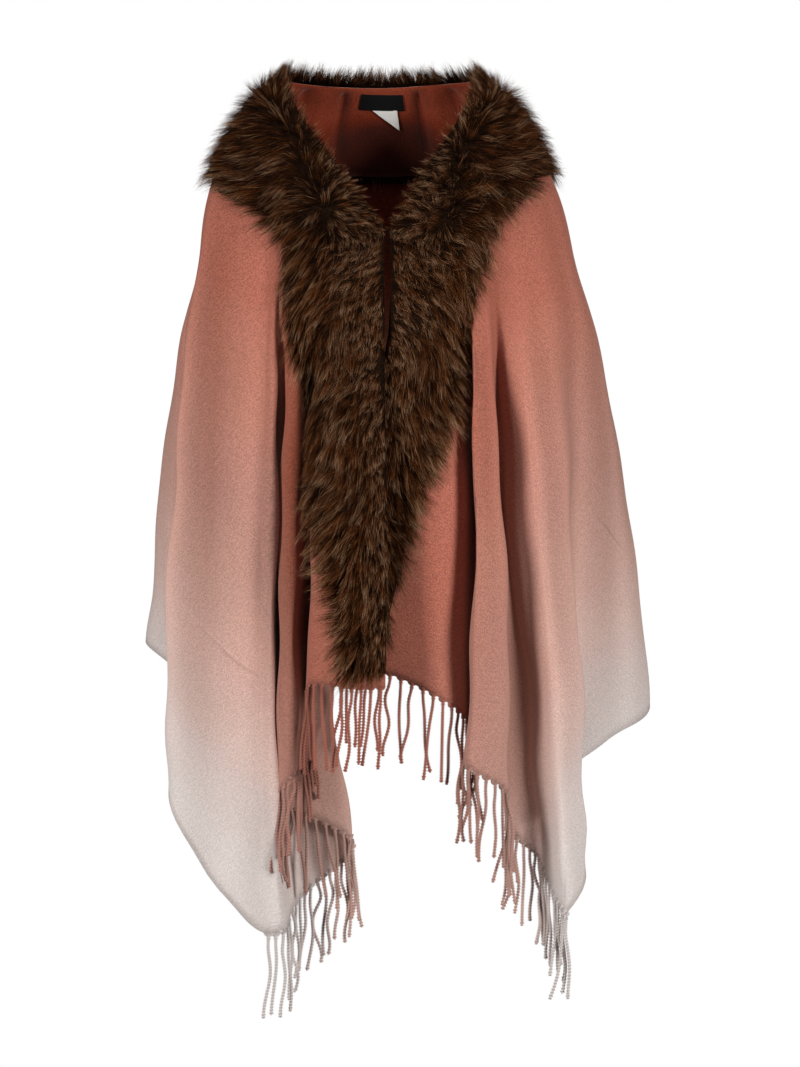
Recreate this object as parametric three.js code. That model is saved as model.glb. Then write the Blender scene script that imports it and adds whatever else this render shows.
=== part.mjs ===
// A long woven shawl worn as a cape, fringed at both short ends, with a fur
// trim sewn along its upper long edge. Millimetres, +Z up. The wearer faces -Y,
// so the wearer's right is at -X. The origin is between the shoulders.
import * as THREE from 'three';

const shawl = { length: 2000, width: 700, thick: 2, shift: -8 };
const seam = 0.3;
const trim = { backWidth: 125, endWidth: 54, pile: 22, rise: 17, spill: 12, stop: 0.97 };
const trimFronts = {
  right: { width: 96, taperFrom: 620, taperTo: 960 },
  left: { width: 80, taperFrom: 480, taperTo: 820 },
};
const fringe = { length: 105, thick: 1.2, gap: 5 };
const label = { columns: 1, down: 8, height: 22, thick: 0.8, off: 0.4 };
const tag = { corners: [[-13, 29], [17, 29], [18, 55]], off: 2.2, thick: 0.8 };
const neck = { backHeight: 106, sideHeight: 110, drop: 216, power: 2.7 };
const fall = { height: -200, blend: 90, bow: 13, soft: 0.06 };
const grid = { furRows: 6, clothRows: 13, lineSteps: 60, columnRun: 34, columnBend: 0.55, clearOfTip: 8 };

// The shoulders the cloth rests on: half width, depth behind and in front of
// the middle at each height, and how far the middle leans sideways.
const shoulders = [
  { height: -300, half: 281, back: 150, front: 146, lean: 0 },
  { height: -200, half: 261, back: 143, front: 139, lean: 0 },
  { height: -130, half: 248, back: 136, front: 131, lean: 0 },
  { height: -60, half: 231, back: 121, front: 118, lean: -3 },
  { height: 0, half: 207, back: 92, front: 92, lean: -7 },
  { height: 50, half: 183, back: 81, front: 63, lean: -9 },
  { height: 80, half: 161, back: 74, front: 42, lean: -9 },
  { height: 98, half: 144, back: 66, front: 30, lean: -9 },
  { height: 116, half: 124, back: 56, front: 20, lean: -9 },
];

// Every fold line starts on the neck edge at an angle round the body, 0 being
// the middle of the back, and meets the free edge at x, y, z. Edge is how far
// along the free edge that is from the front end of the fur edge, and soon is
// how much sooner than evenly the fold comes forward or goes back on its way.
const folds = [
  { name: 'edgeR', angle: -179, edge: 0, x: -3, y: -216, z: -667, soon: 0 },
  { name: 'frontR', angle: -172, edge: 60, x: -58, y: -222, z: -665, soon: 1 },
  { name: 'fold2R', angle: -165, edge: 98, x: -92, y: -208, z: -662, soon: 3 },
  { name: 'turn2R', angle: -160.5, edge: 193, x: -96, y: -127, z: -722, soon: 4 },
  { name: 'rimR', angle: -155.6, edge: 264, x: -112, y: -157, z: -776, soon: 2.5 },
  { name: 'fold1R', angle: -152.8, edge: 300, x: -130, y: -166, z: -790, soon: 0.2 },
  { name: 'backR', angle: -151.5, edge: 362, x: -121, y: -124, z: -818, soon: 0.5 },
  { name: 'turn1R', angle: -150, edge: 475, x: -44, y: -103, z: -871, soon: 0.5 },
  { name: 'lapR', angle: -149, edge: 590, x: -104, y: -89, z: -928, soon: 0.5 },
  { name: 'cornerR', angle: -145, edge: 700, x: -151, y: -154, z: -974, soon: 3 },
  { name: 'sweepR', angle: -127, edge: 815, x: -223, y: -144, z: -901, soon: 1 },
  { name: 'panelR', angle: -106, edge: 915, x: -274, y: -116, z: -806, soon: 0.2 },
  { name: 'tuckR', angle: -97, edge: 1045, x: -170, y: -76, z: -725, soon: 0 },
  { name: 'sideR', angle: -90, edge: 1150, x: -270, y: -52, z: -653, soon: 0 },
  { name: 'outerR', angle: -80, edge: 1215, x: -309, y: 15, z: -618, soon: 0 },
  { name: 'bladeR', angle: -60, edge: 1345, x: -268, y: 98, z: -598, soon: 0 },
  { name: 'valleyR', angle: -42, edge: 1465, x: -180, y: 132, z: -597, soon: 0 },
  { name: 'crestR', angle: -22, edge: 1585, x: -98, y: 184, z: -596, soon: 0 },
  { name: 'back', angle: 0, edge: 1700, x: 0, y: 158, z: -603, soon: 0 },
  { name: 'crestL', angle: 22, edge: 1590, x: 102, y: 182, z: -600, soon: 0 },
  { name: 'valleyL', angle: 43, edge: 1460, x: 200, y: 136, z: -606, soon: 0 },
  { name: 'bladeL', angle: 62, edge: 1300, x: 290, y: 100, z: -634, soon: 0 },
  { name: 'outerL', angle: 84, edge: 1100, x: 336, y: 0, z: -709, soon: 0 },
  { name: 'sideL', angle: 99, edge: 1000, x: 270, y: -66, z: -747, soon: 0 },
  { name: 'tuckL', angle: 118, edge: 890, x: 206, y: -92, z: -812, soon: 0 },
  { name: 'panelL', angle: 131, edge: 770, x: 246, y: -135, z: -903, soon: 0.4 },
  { name: 'cornerL', angle: 139, edge: 700, x: 221, y: -155, z: -954, soon: 2 },
  { name: 'lapL', angle: 144.5, edge: 598, x: 203, y: -124, z: -908, soon: 2.5 },
  { name: 'valleyFL', angle: 147.5, edge: 526, x: 188, y: -72, z: -876, soon: 3.5 },
  { name: 'backL', angle: 150.3, edge: 468, x: 152, y: -100, z: -850, soon: 2 },
  { name: 'ridgeL', angle: 152.5, edge: 368, x: 144, y: -176, z: -793, soon: 1.2 },
  { name: 'fold1L', angle: 155.2, edge: 315, x: 103, y: -190, z: -768, soon: 3 },
  { name: 'turn1L', angle: 158, edge: 225, x: 110, y: -100, z: -735, soon: 4 },
  { name: 'middleL', angle: 162.5, edge: 145, x: 76, y: -158, z: -690, soon: 2.5 },
  { name: 'frontL', angle: 171, edge: 60, x: -8, y: -150, z: -650, soon: 0.8 },
  { name: 'edgeL', angle: 179, edge: 0, x: -66, y: -142, z: -636, soon: 0 },
];

// Where the fur lies in a tight fold, and how far to each side of it.
const tightFolds = [['turn2R', 75], ['turn1L', 90]];

// The stretches of cloth that show, each from one fold line, or a share of the
// way to the next, to another, with how finely it is cut.
const stretches = [
  { name: 'front_edge_right', from: ['edgeR', 0], to: ['turn2R', 0.5], columns: 11 },
  { name: 'front_fold_right', from: ['turn2R', 0.5], to: ['fold1R', 0.6], columns: 6 },
  { name: 'front_panel_right', from: ['fold1R', 0.6], to: ['panelR', 0.5], columns: 10 },
  { name: 'side_right', from: ['panelR', 0.5], to: ['outerR', 0], columns: 9 },
  { name: 'back_right', from: ['outerR', 0], to: ['valleyR', 0], columns: 6 },
  { name: 'back', from: ['valleyR', 0], to: ['valleyL', 0], columns: 8 },
  { name: 'back_left', from: ['valleyL', 0], to: ['outerL', 0], columns: 6 },
  { name: 'side_left', from: ['outerL', 0], to: ['tuckL', 0.5], columns: 9 },
  { name: 'front_panel_left', from: ['tuckL', 0.5], to: ['lapL', 0.5], columns: 9 },
  { name: 'front_fold_left', from: ['lapL', 0.5], to: ['fold1L', 0.5], columns: 9 },
  { name: 'front_edge_left', from: ['fold1L', 0.5], to: ['edgeL', 0], columns: 9 },
];

const radians = Math.PI / 180;
const clamp = (v, low, high) => Math.min(Math.max(v, low), high);
const mix = (a, b, f) => a + (b - a) * f;
const ease = (low, high, v) => {
  const f = clamp((v - low) / (high - low), 0, 1);
  return f * f * (3 - 2 * f);
};

// A curve through values at knots. Monotone slopes never overshoot, free
// slopes bend more softly and suit folds.
function curve(knots, values, monotone) {
  const last = knots.length - 1;
  const gap = knots.slice(1).map((k, i) => k - knots[i]);
  const rise = gap.map((g, i) => (values[i + 1] - values[i]) / g);
  const slope = values.map((v, i) => {
    if (i === 0) return rise[0];
    if (i === last) return rise[last - 1];
    const [a, b, g, h] = [rise[i - 1], rise[i], gap[i - 1], gap[i]];
    if (!monotone) return (b * g + a * h) / (g + h);
    if (a * b <= 0) return 0;
    const [p, q] = [2 * h + g, h + 2 * g];
    return (p + q) / (p / a + q / b);
  });
  return (at) => {
    let i = 0;
    while (i < last - 1 && at >= knots[i + 1]) i += 1;
    const h = gap[i];
    const f = (at - knots[i]) / h;
    const [ff, fff] = [f * f, f * f * f];
    return (2 * fff - 3 * ff + 1) * values[i] + (fff - 2 * ff + f) * h * slope[i]
      + (3 * ff - 2 * fff) * values[i + 1] + (fff - ff) * h * slope[i + 1];
  };
}

const levels = shoulders.map((row) => row.height);
const [halfAt, backAt, frontAt, leanAt] = ['half', 'back', 'front', 'lean']
  .map((column) => curve(levels, shoulders.map((row) => row[column]), true));

function onShoulders(angle, height) {
  const at = clamp(height, levels[0], levels[levels.length - 1]);
  const cos = Math.cos(angle);
  const depth = cos > 0 ? backAt(at) : frontAt(at);
  return new THREE.Vector3(leanAt(at) + halfAt(at) * Math.sin(angle), depth * cos, height);
}

function neckHeight(angle) {
  const turn = Math.abs(angle) / radians;
  if (turn > 90) return neck.sideHeight - neck.drop * ((turn - 90) / 90) ** neck.power;
  return mix(neck.backHeight, neck.sideHeight, Math.sin(turn * radians) ** 2);
}

// Length along the neck edge from the middle of the back.
const neckSteps = [0];
for (let i = 1; i <= 360; i += 1) {
  const [a, b] = [(i - 1) / 2 * radians, i / 2 * radians];
  const step = onShoulders(a, neckHeight(a)).distanceTo(onShoulders(b, neckHeight(b)));
  neckSteps.push(neckSteps[i - 1] + step);
}
function neckLength(angle) {
  const at = clamp(Math.abs(angle) / radians * 2, 0, 359.999);
  const i = Math.floor(at);
  return Math.sign(angle) * mix(neckSteps[i], neckSteps[i + 1], at - i);
}

// Fold lines are spaced by how far apart they leave the hem, so the curves
// through them bend evenly.
const spacing = [0];
folds.slice(1).forEach((row, i) => {
  const before = folds[i];
  spacing.push(spacing[i] + Math.max(Math.hypot(row.x - before.x, row.y - before.y), 20));
});
const foldAt = (name) => spacing[folds.findIndex((row) => row.name === name)];
function placeOf([name, share]) {
  const i = folds.findIndex((row) => row.name === name);
  return share ? mix(spacing[i], spacing[i + 1], share) : spacing[i];
}
const backAcross = foldAt('back');
const through = (column, monotone, scale = 1) =>
  curve(spacing, folds.map((row) => row[column] * scale), monotone);
const angleAt = through('angle', true, radians);
const edgeAt = through('edge', true);
const soonAt = through('soon', true);
const [xAt, yAt, zAt] = ['x', 'y', 'z'].map((column) => through(column, false));

// Where the fold line across the hem at `across` meets the flat shawl's edge.
function freeEdge(across) {
  const side = across < backAcross ? -1 : 1;
  const end = shawl.length / 2 + side * shawl.shift;
  const along = edgeAt(across);
  const down = Math.min(along, shawl.width);
  return { s: side * (end - (along - down)), t: down };
}

// A point of one fold line, part 0 at the neck edge and 1 at the free edge.
function onFold(across, part) {
  const angle = angleAt(across);
  const top = neckHeight(angle);
  const height = mix(top, zAt(across), part);
  const form = onShoulders(angle, height);
  const start = onShoulders(angle, fall.height);
  const below = (fall.height - height) / (fall.height - zAt(across));
  const drop = Math.min((below + Math.hypot(below, fall.soft)) / 2, 1);
  const lower = 1 - (1 - drop) ** (1 + soonAt(across));
  const bulge = fall.bow * Math.sin(Math.PI * clamp(below, 0, 1));
  const hang = new THREE.Vector3(
    mix(start.x, xAt(across), drop) + bulge * Math.sin(angle),
    mix(start.y, yAt(across), lower) + bulge * Math.cos(angle), height);
  return form.lerp(hang, ease(-fall.blend, fall.blend, fall.height - height));
}

// The same points spaced by their true length, so the cloth stays even.
const lineCache = new Map();
function foldLine(across) {
  if (!lineCache.has(across)) {
    const points = Array.from({ length: grid.lineSteps + 1 }, (_, i) => onFold(across, i / grid.lineSteps));
    const lengths = [0];
    points.slice(1).forEach((p, i) => lengths.push(lengths[i] + p.distanceTo(points[i])));
    lineCache.set(across, { points, lengths });
  }
  return lineCache.get(across);
}
function clothPoint(across, part) {
  const { points, lengths } = foldLine(across);
  const want = part * lengths[grid.lineSteps];
  let i = 0;
  while (i < grid.lineSteps - 1 && lengths[i + 1] < want) i += 1;
  const f = (want - lengths[i]) / (lengths[i + 1] - lengths[i]);
  return points[i].clone().lerp(points[i + 1], f);
}
function flatPoint(across, part) {
  const start = neckLength(angleAt(across));
  const end = freeEdge(across);
  return { s: mix(start, end.s, part), t: end.t * part };
}

// Directions of the cloth at a point: across the folds, down them, outward.
function clothFrame(across, part) {
  const a = clamp(across, spacing[0] + 1, spacing[spacing.length - 1] - 1);
  const p = clamp(part, 0.02, 0.98);
  const sideways = clothPoint(a + 1, p).sub(clothPoint(a - 1, p)).normalize();
  const down = clothPoint(a, p + 0.02).sub(clothPoint(a, p - 0.02)).normalize();
  return { sideways, down, out: sideways.clone().cross(down).normalize() };
}

function trimWidth(s) {
  const front = s < 0 ? trimFronts.right : trimFronts.left;
  const upper = mix(trim.backWidth, front.width, ease(180, 440, Math.abs(s)));
  return mix(upper, trim.endWidth, ease(front.taperFrom, front.taperTo, Math.abs(s)));
}
// How far down a fold line the fur reaches.
function trimPart(across) {
  let low = 0;
  let high = trim.stop;
  const under = (part) => {
    const { s, t } = flatPoint(across, part);
    return t < trimWidth(s);
  };
  if (under(high)) return high;
  for (let i = 0; i < 24; i += 1) {
    const middle = (low + high) / 2;
    if (under(middle)) low = middle; else high = middle;
  }
  return low;
}

// Rows down a fold line: an even set under the fur, then one below it.
function partsDown(across) {
  const edge = trimPart(across);
  const upper = Array.from({ length: grid.furRows }, (_, i) => edge * i / grid.furRows);
  const lower = Array.from({ length: grid.clothRows + 1 }, (_, i) =>
    mix(edge, 1, i / grid.clothRows));
  return upper.concat(lower);
}

// Places across a stretch, crowded where the hem turns so that tight folds
// keep their shape.
function crowdedPlaces(from, to, count) {
  const steps = 240;
  const hem = Array.from({ length: steps + 1 }, (_, i) => {
    const across = mix(from, to, i / steps);
    return new THREE.Vector3(xAt(across), yAt(across), 0);
  });
  const weights = [0];
  for (let i = 1; i <= steps; i += 1) {
    const run = hem[i].clone().sub(hem[i - 1]);
    const before = i > 1 ? hem[i - 1].clone().sub(hem[i - 2]) : run;
    weights.push(weights[i - 1] + run.length() / grid.columnRun + run.angleTo(before) / grid.columnBend);
  }
  return Array.from({ length: count + 1 }, (_, i) => {
    const want = weights[steps] * i / count;
    let k = 1;
    while (k < steps && weights[k] < want) k += 1;
    const share = (want - weights[k - 1]) / (weights[k] - weights[k - 1]);
    return mix(from, to, (k - 1 + clamp(share, 0, 1)) / steps);
  });
}
// Columns of one stretch. Its end columns lie half a seam off the line it
// shares with its neighbour. The shawl's corners and the tips of tight folds
// always fall on a column, with no other so close that the wall meets itself.
function columnsOf(stretch) {
  const [from, to] = [stretch.from, stretch.to].map(placeOf);
  const columns = crowdedPlaces(from, to, stretch.columns).map((across) => ({ across, nudge: 0 }));
  columns[0].nudge = from > 0 ? seam / 2 : 0;
  columns[stretch.columns].nudge = to < spacing[spacing.length - 1] ? -seam / 2 : 0;
  const tips = ['cornerR', 'cornerL', 'turn2R', 'turn1L'].map(foldAt)
    .filter((at) => at > from && at < to);
  tips.forEach((at) => {
    const far = (column) => Math.abs(column.across - at);
    columns.slice(1, -1).reduce((best, column) => (far(column) < far(best) ? column : best)).across = at;
  });
  return columns.filter(({ across }, i) => i === 0 || i === stretch.columns
    || tips.every((at) => across === at || Math.abs(across - at) > grid.clearOfTip));
}

// A closed wall between two sheets of points, both columns by rows.
function wall(outer, inner) {
  const [wide, deep] = [outer.length, outer[0].length];
  const points = outer.flat().concat(inner.flat());
  const out = (i, j) => i * deep + j;
  const into = (i, j) => wide * deep + i * deep + j;
  const faces = [];
  const quad = (a, b, c, d) => faces.push(a, c, b, a, d, c);
  for (let i = 0; i < wide - 1; i += 1) {
    for (let j = 0; j < deep - 1; j += 1) {
      quad(out(i, j), out(i, j + 1), out(i + 1, j + 1), out(i + 1, j));
      quad(into(i, j), into(i + 1, j), into(i + 1, j + 1), into(i, j + 1));
    }
    quad(out(i, 0), out(i + 1, 0), into(i + 1, 0), into(i, 0));
    quad(out(i, deep - 1), into(i, deep - 1), into(i + 1, deep - 1), out(i + 1, deep - 1));
  }
  for (let j = 0; j < deep - 1; j += 1) {
    quad(out(0, j), into(0, j), into(0, j + 1), out(0, j + 1));
    quad(out(wide - 1, j), out(wide - 1, j + 1), into(wide - 1, j + 1), into(wide - 1, j));
  }
  const geometry = new THREE.BufferGeometry();
  geometry.setAttribute('position', new THREE.Float32BufferAttribute(points.flatMap((p) => p.toArray()), 3));
  geometry.setIndex(faces);
  geometry.computeVertexNormals();
  return geometry;
}

const looks = {
  cloth: new THREE.MeshStandardMaterial({ color: 0xb5765f, roughness: 0.9, metalness: 0 }),
  fur: new THREE.MeshStandardMaterial({ color: 0x5a3b28, roughness: 0.95, metalness: 0 }),
  fringe: new THREE.MeshStandardMaterial({ color: 0xd8bfb4, roughness: 0.9, metalness: 0 }),
  label: new THREE.MeshStandardMaterial({ color: 0x16161a, roughness: 0.7, metalness: 0 }),
  tag: new THREE.MeshStandardMaterial({ color: 0xeeeeec, roughness: 0.8, metalness: 0 }),
};
const cape = new THREE.Group();
cape.name = 'fur_trimmed_cape';
function add(name, geometry, look) {
  const mesh = new THREE.Mesh(geometry, looks[look]);
  mesh.name = name;
  cape.add(mesh);
}

// Cloth: each stretch is a wall of even thickness.
function raised({ across, nudge }, part, height, lengthways = 0) {
  const { sideways, down, out } = clothFrame(across, part);
  return clothPoint(across, part).addScaledVector(out, height)
    .addScaledVector(sideways, nudge).addScaledVector(down, lengthways);
}
function clothSolid(stretch) {
  const columns = columnsOf(stretch);
  const sheet = (height) => columns.map((column) =>
    partsDown(column.across).map((part) => raised(column, part, height)));
  return wall(sheet(shawl.thick / 2), sheet(-shawl.thick / 2));
}

// How far the pile is pressed flat in the deep folds of the fronts.
function pressed(across, part) {
  const { z } = clothPoint(across, part);
  const near = tightFolds.map(([name, reach]) => Math.exp(-(((across - foldAt(name)) / reach) ** 2)));
  return 0.94 * Math.max(...near) * ease(150, 240, -z);
}

// Fur: the reach of its pile over the same points, rising past the neck edge,
// spilling over its lower edge and thin where the two fronts cross.
function pileHeight(across, row) {
  const part = partsDown(across)[row];
  const { s, t } = flatPoint(across, part);
  const front = ease(150, 172, Math.abs(angleAt(across)) / radians);
  const full = trim.pile * mix(1, 0.6, ease(430, 700, Math.abs(s)));
  const atEdge = mix(0.45 + 0.55 * ease(0, 30, t), ease(0, 30, t), front);
  const low = 1 - 0.65 * ease(0.7, 1, row / grid.furRows);
  return 1 + (2 + full * Math.min(atEdge, low)) * (1 - pressed(across, part));
}
function furSolid(stretch) {
  const columns = columnsOf(stretch).map(({ across, nudge }) => ({ across, nudge: nudge * 3 }));
  const lift = shawl.thick / 2 + seam;
  const under = (column) => partsDown(column.across).slice(0, grid.furRows + 1);
  const inner = columns.map((column) => under(column).map((part) => raised(column, part, lift)));
  const outer = columns.map((column) => {
    const front = ease(100, 175, Math.abs(angleAt(column.across)) / radians);
    return under(column).map((part, row) => {
      let past = 0;
      if (row === 0) past = -trim.rise * (1 - 0.8 * front);
      if (row === grid.furRows) past = trim.spill * ease(trim.stop, 0.8, part);
      return raised(column, part, lift + pileHeight(column.across, row), past);
    });
  });
  return wall(outer, inner);
}

// Fringe: a thin band as deep as the tassels reach, which leaves the short edge
// of one stretch in the cloth's own direction and turns downwards.
function fringeSolid(stretch) {
  const columns = columnsOf(stretch).filter(({ across }) => edgeAt(across) <= shawl.width + 0.01);
  const rows = 4;
  const sheet = (side) => columns.map((column) => Array.from({ length: rows }, (_, row) => {
    const part = row / (rows - 1);
    const { down } = clothFrame(column.across, 1);
    const turned = (share) => down.clone().lerp(new THREE.Vector3(0, 0, -1), share).normalize();
    return raised(column, 1, side * fringe.thick / 2)
      .addScaledVector(turned(0.5), fringe.gap).addScaledVector(turned(part * 0.7), fringe.length * part);
  }));
  return wall(sheet(1), sheet(-1));
}

// A point inside the back of the neck, `down` below the neck edge, on the
// cloth's own facets and `off` clear of them.
const backColumns = columnsOf(stretches.find(({ name }) => name === 'back'));
function insideBack(column, down, off) {
  const parts = partsDown(column.across);
  const share = down / trim.backWidth * grid.furRows;
  const row = Math.floor(share);
  const lift = -shawl.thick / 2 - off;
  return raised(column, parts[row], lift).lerp(raised(column, parts[row + 1], lift), share - row);
}
// The woven neck label follows the cloth from one column to another.
function labelSolid() {
  const middle = backColumns.reduce((best, column, i) => {
    const off = ({ across }) => Math.abs(across - backAcross);
    return off(column) < off(backColumns[best]) ? i : best;
  }, 0);
  const columns = backColumns.slice(middle - label.columns, middle + label.columns + 1);
  const edge = trim.backWidth / grid.furRows;
  const sheet = (off) => columns.map((column) =>
    [label.down, edge, label.down + label.height].map((down) => insideBack(column, down, off)));
  return wall(sheet(label.off), sheet(label.off + label.thick));
}
// The care tag is folded corner to corner and hangs under the label.
function tagSolid() {
  const columnAt = (s) => {
    const across = backAcross + s / neckLength(radians * 22) * (foldAt('crestL') - backAcross);
    return { across, nudge: 0 };
  };
  const corners = (off) => tag.corners.map(([s, down]) => insideBack(columnAt(s), down, off));
  const points = [...corners(tag.off), ...corners(tag.off + tag.thick)];
  const geometry = new THREE.BufferGeometry().setFromPoints(points);
  geometry.setIndex([0, 1, 2, 3, 5, 4, 0, 3, 4, 0, 4, 1, 1, 4, 5, 1, 5, 2, 2, 5, 3, 2, 3, 0]);
  geometry.computeVertexNormals();
  return geometry;
}

stretches.forEach((stretch) => {
  add(`cloth_${stretch.name}`, clothSolid(stretch), 'cloth');
  add(`fur_${stretch.name}`, furSolid(stretch), 'fur');
});
stretches.filter((stretch) => stretch.name.startsWith('front')).forEach((stretch) =>
  add(`fringe_${stretch.name}`, fringeSolid(stretch), 'fringe'));
add('neck_label', labelSolid(), 'label');
add('care_tag', tagSolid(), 'tag');

export default cape;
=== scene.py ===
# A long woven shawl worn as a cape, dyed from terracotta to cream, with a fur trim along its
# upper edge and a twisted fringe at both ends. Sizes are millimetres until a mesh is made.
# The wearer faces -Y, so the wearer's right is at -X.
import math
from types import SimpleNamespace

import bpy
import numpy as np
from mathutils.kdtree import KDTree
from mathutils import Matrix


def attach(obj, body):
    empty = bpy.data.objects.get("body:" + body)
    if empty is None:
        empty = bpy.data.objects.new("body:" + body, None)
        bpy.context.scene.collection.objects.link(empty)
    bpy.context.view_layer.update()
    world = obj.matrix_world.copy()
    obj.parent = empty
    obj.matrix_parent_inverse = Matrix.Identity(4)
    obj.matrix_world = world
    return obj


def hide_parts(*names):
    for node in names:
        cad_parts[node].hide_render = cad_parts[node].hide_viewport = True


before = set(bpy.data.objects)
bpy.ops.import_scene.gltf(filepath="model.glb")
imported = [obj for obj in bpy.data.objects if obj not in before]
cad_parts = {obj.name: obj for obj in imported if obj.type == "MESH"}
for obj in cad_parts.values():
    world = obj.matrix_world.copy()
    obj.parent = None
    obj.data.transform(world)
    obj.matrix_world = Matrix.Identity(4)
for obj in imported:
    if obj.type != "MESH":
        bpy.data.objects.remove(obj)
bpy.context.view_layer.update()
bpy.ops.object.select_all(action="DESELECT")

mm = 0.001
shawl = {"length": 2000, "width": 700, "thick": 2, "shift": -8}
trim = {"backWidth": 125, "endWidth": 54, "stop": 0.97}
trimFronts = {
    "right": {"width": 96, "taperFrom": 620, "taperTo": 960},
    "left": {"width": 80, "taperFrom": 480, "taperTo": 820},
}
neck = {"backHeight": 106, "sideHeight": 110, "drop": 216, "power": 2.7}
fall = {"height": -200, "blend": 90, "bow": 13, "soft": 0.06}

# The shoulders under the cloth: half width, depth behind and in front, lean to the side.
shoulders = [
    # height, half, back, front, lean
    (-300, 281, 150, 146, 0),
    (-200, 261, 143, 139, 0),
    (-130, 248, 136, 131, 0),
    (-60, 231, 121, 118, -3),
    (0, 207, 92, 92, -7),
    (50, 183, 81, 63, -9),
    (80, 161, 74, 42, -9),
    (98, 144, 66, 30, -9),
    (116, 124, 56, 20, -9),
]

# The fold lines, as in the frame: each leaves the neck edge at an angle round the body, 0 at
# the back, and meets the free edge at x, y, z, edge millimetres from the fur edge's end. Soon
# is how much sooner than evenly it comes forward or goes back on its way.
folds = [
    # name, angle, edge, x, y, z, soon
    ("edgeR", -179, 0, -3, -216, -667, 0),
    ("frontR", -172, 60, -58, -222, -665, 1),
    ("fold2R", -165, 98, -92, -208, -662, 3),
    ("turn2R", -160.5, 193, -96, -127, -722, 4),
    ("rimR", -155.6, 264, -112, -157, -776, 2.5),
    ("fold1R", -152.8, 300, -130, -166, -790, 0.2),
    ("backR", -151.5, 362, -121, -124, -818, 0.5),
    ("turn1R", -150, 475, -44, -103, -871, 0.5),
    ("lapR", -149, 590, -104, -89, -928, 0.5),
    ("cornerR", -145, 700, -151, -154, -974, 3),
    ("sweepR", -127, 815, -223, -144, -901, 1),
    ("panelR", -106, 915, -274, -116, -806, 0.2),
    ("tuckR", -97, 1045, -170, -76, -725, 0),
    ("sideR", -90, 1150, -270, -52, -653, 0),
    ("outerR", -80, 1215, -309, 15, -618, 0),
    ("bladeR", -60, 1345, -268, 98, -598, 0),
    ("valleyR", -42, 1465, -180, 132, -597, 0),
    ("crestR", -22, 1585, -98, 184, -596, 0),
    ("back", 0, 1700, 0, 158, -603, 0),
    ("crestL", 22, 1590, 102, 182, -600, 0),
    ("valleyL", 43, 1460, 200, 136, -606, 0),
    ("bladeL", 62, 1300, 290, 100, -634, 0),
    ("outerL", 84, 1100, 336, 0, -709, 0),
    ("sideL", 99, 1000, 270, -66, -747, 0),
    ("tuckL", 118, 890, 206, -92, -812, 0),
    ("panelL", 131, 770, 246, -135, -903, 0.4),
    ("cornerL", 139, 700, 221, -155, -954, 2),
    ("lapL", 144.5, 598, 203, -124, -908, 2.5),
    ("valleyFL", 147.5, 526, 188, -72, -876, 3.5),
    ("backL", 150.3, 468, 152, -100, -850, 2),
    ("ridgeL", 152.5, 368, 144, -176, -793, 1.2),
    ("fold1L", 155.2, 315, 103, -190, -768, 3),
    ("turn1L", 158, 225, 110, -100, -735, 4),
    ("middleL", 162.5, 145, 76, -158, -690, 2.5),
    ("frontL", 171, 60, -8, -150, -650, 0.8),
    ("edgeL", 179, 0, -66, -142, -636, 0),
]


def ease(low, high, value):
    f = np.clip((value - low) / (high - low), 0, 1)
    return f * f * (3 - 2 * f)


def mix(a, b, f):
    return a + (b - a) * f


def unit(vectors):
    return vectors / np.maximum(np.linalg.norm(vectors, axis=-1, keepdims=True), 1e-9)


def curveThrough(knots, values, monotone):
    knots, values = np.array(knots, float), np.array(values, float)
    gap = np.diff(knots)
    rise = np.diff(values) / gap
    a, b, g, h = rise[:-1], rise[1:], gap[:-1], gap[1:]
    if monotone:
        level = a * b <= 0
        a, b = np.where(level, 1, a), np.where(level, 1, b)
        inner = np.where(level, 0, 3 * (g + h) / ((2 * h + g) / a + (h + 2 * g) / b))
    else:
        inner = (b * g + a * h) / (g + h)
    slope = np.concatenate([rise[:1], inner, rise[-1:]])

    def at(x):
        i = np.clip(np.searchsorted(knots, x, side="right") - 1, 0, len(gap) - 1)
        f = (x - knots[i]) / gap[i]
        ff, fff = f * f, f * f * f
        return ((2 * fff - 3 * ff + 1) * values[i] + (fff - 2 * ff + f) * gap[i] * slope[i]
                + (3 * ff - 2 * fff) * values[i + 1] + (fff - ff) * gap[i] * slope[i + 1])
    return at


def lengthsAlong(points):
    steps = np.linalg.norm(np.diff(points, axis=-2), axis=-1)
    return np.concatenate([np.zeros_like(steps[..., :1]), np.cumsum(steps, -1)], -1)


levels = [row[0] for row in shoulders]
halfAt, backAt, frontAt, leanAt = (
    curveThrough(levels, [row[i] for row in shoulders], True) for i in range(1, 5))


def onShoulders(angle, height):
    angle, height = np.broadcast_arrays(angle, height)
    at = np.clip(height, levels[0], levels[-1])
    depth = np.where(np.cos(angle) > 0, backAt(at), frontAt(at))
    return np.stack([leanAt(at) + halfAt(at) * np.sin(angle), depth * np.cos(angle), height], -1)


def neckHeight(angle):
    turn = np.abs(np.degrees(angle))
    front = neck["sideHeight"] - neck["drop"] * np.clip((turn - 90) / 90, 0, 1) ** neck["power"]
    behind = mix(neck["backHeight"], neck["sideHeight"], np.sin(angle) ** 2)
    return np.where(turn > 90, front, behind)


neckTurns = np.linspace(0, np.pi, 721)
neckSteps = lengthsAlong(onShoulders(neckTurns, neckHeight(neckTurns)))


def neckLength(angle):
    return np.sign(angle) * np.interp(np.abs(angle), neckTurns, neckSteps)


foldNames, angles, edges, *places, soons = zip(*folds)
apart = np.hypot(np.diff(places[0]), np.diff(places[1]))
spacing = np.concatenate([[0], np.cumsum(np.maximum(apart, 20))])
foldAt = dict(zip(foldNames, spacing))
angleAt = curveThrough(spacing, np.radians(angles), True)
edgeAt = curveThrough(spacing, edges, True)
soonAt = curveThrough(spacing, soons, True)
xAt, yAt, zAt = (curveThrough(spacing, place, False) for place in places)


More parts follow.
